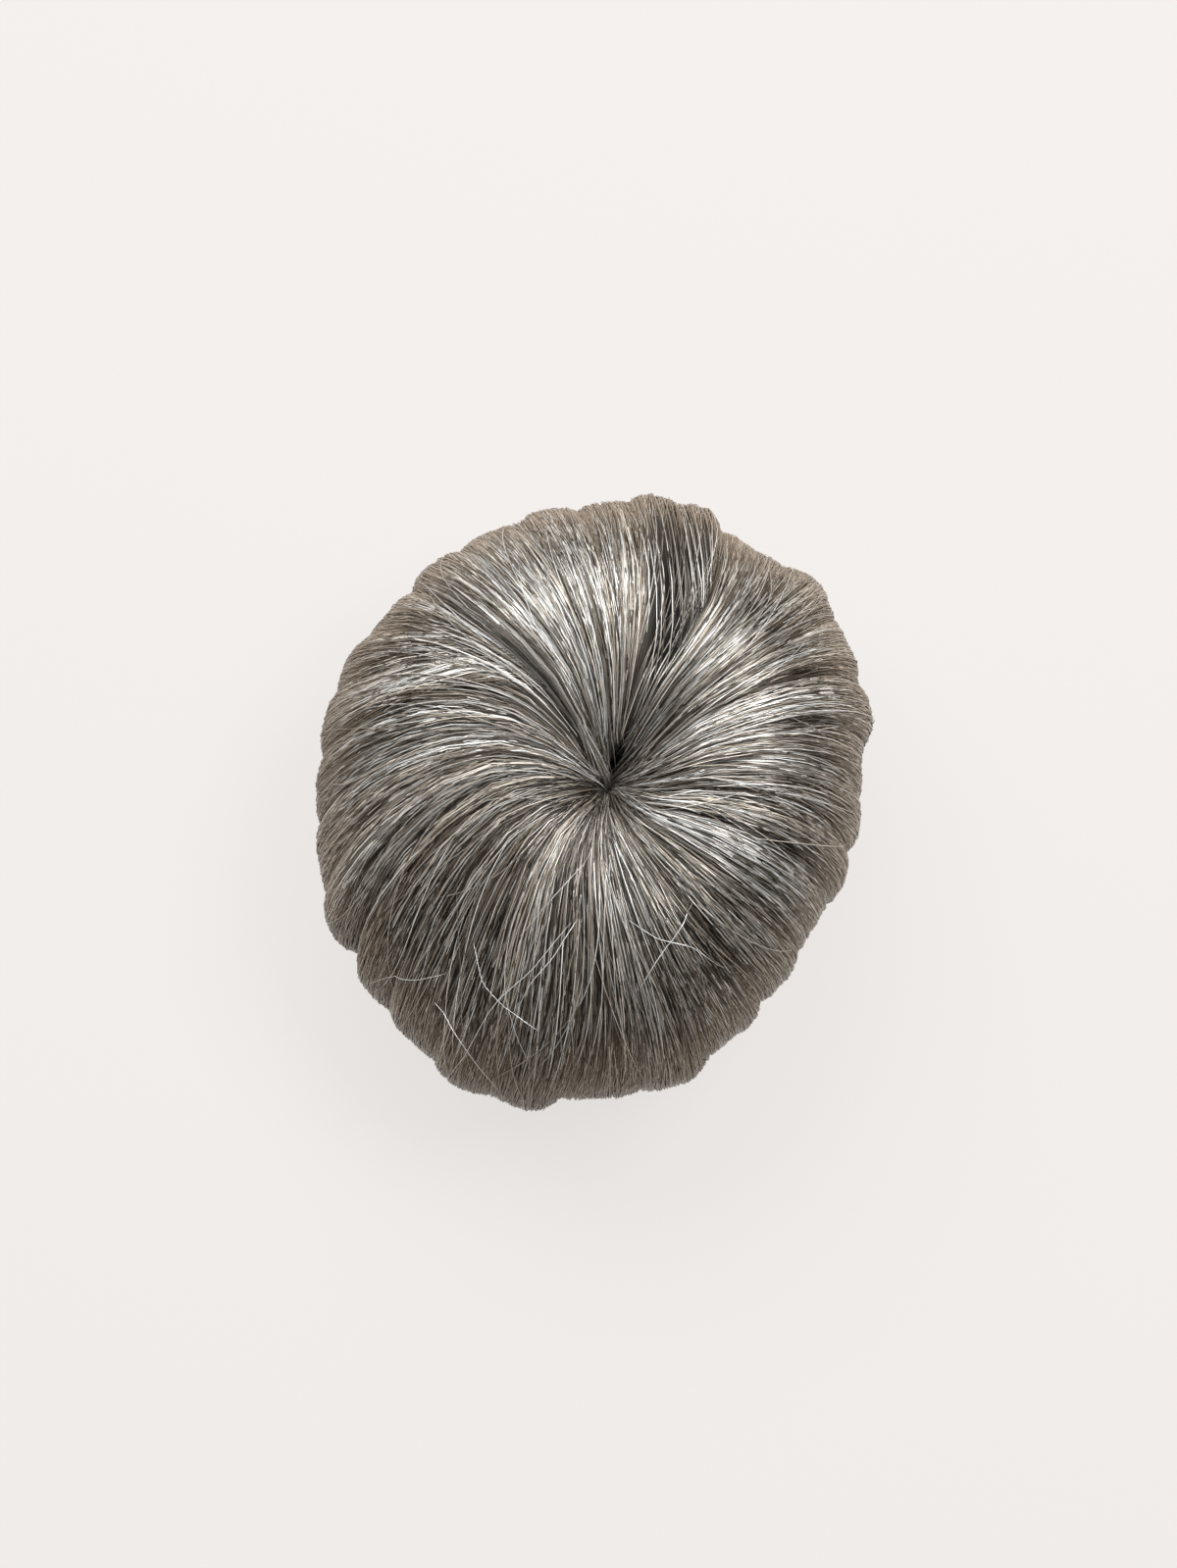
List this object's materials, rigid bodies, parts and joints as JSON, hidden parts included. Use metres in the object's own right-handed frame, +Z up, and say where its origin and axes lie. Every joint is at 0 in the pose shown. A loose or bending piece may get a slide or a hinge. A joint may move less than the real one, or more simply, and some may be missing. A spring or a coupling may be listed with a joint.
{
  "type": "top knot hairpiece",
  "caption": "Domed bun of straight grey hair, combed in locks from a swirl on top round to an open stretch cap with a comb in its hem.",
  "frame": {"origin": "on the surface that it stands on, under the middle of its outline", "axes": "+Z up through the bun, +Y towards its back, +X towards the right-hand side of the picture"},
  "size_m": [0.103, 0.114, 0.0594],
  "materials": {
    "hair": "straight combed hair, silver grey mixed with taupe and dark strands, with a soft sheen",
    "cap": "fine stretch net with a woven elastic hem",
    "comb": "satin moulded plastic"
  },
  "bodies": {
    "root": {"lock_right": "hair", "lock_rear_right": "hair", "lock_rear": "hair", "lock_rear_left": "hair", "lock_left_rear": "hair", "lock_left": "hair", "lock_front_left": "hair", "lock_front": "hair", "lock_front_right": "hair", "stretch_cap": "cap", "comb": "comb"}
  },
  "joints": []
}
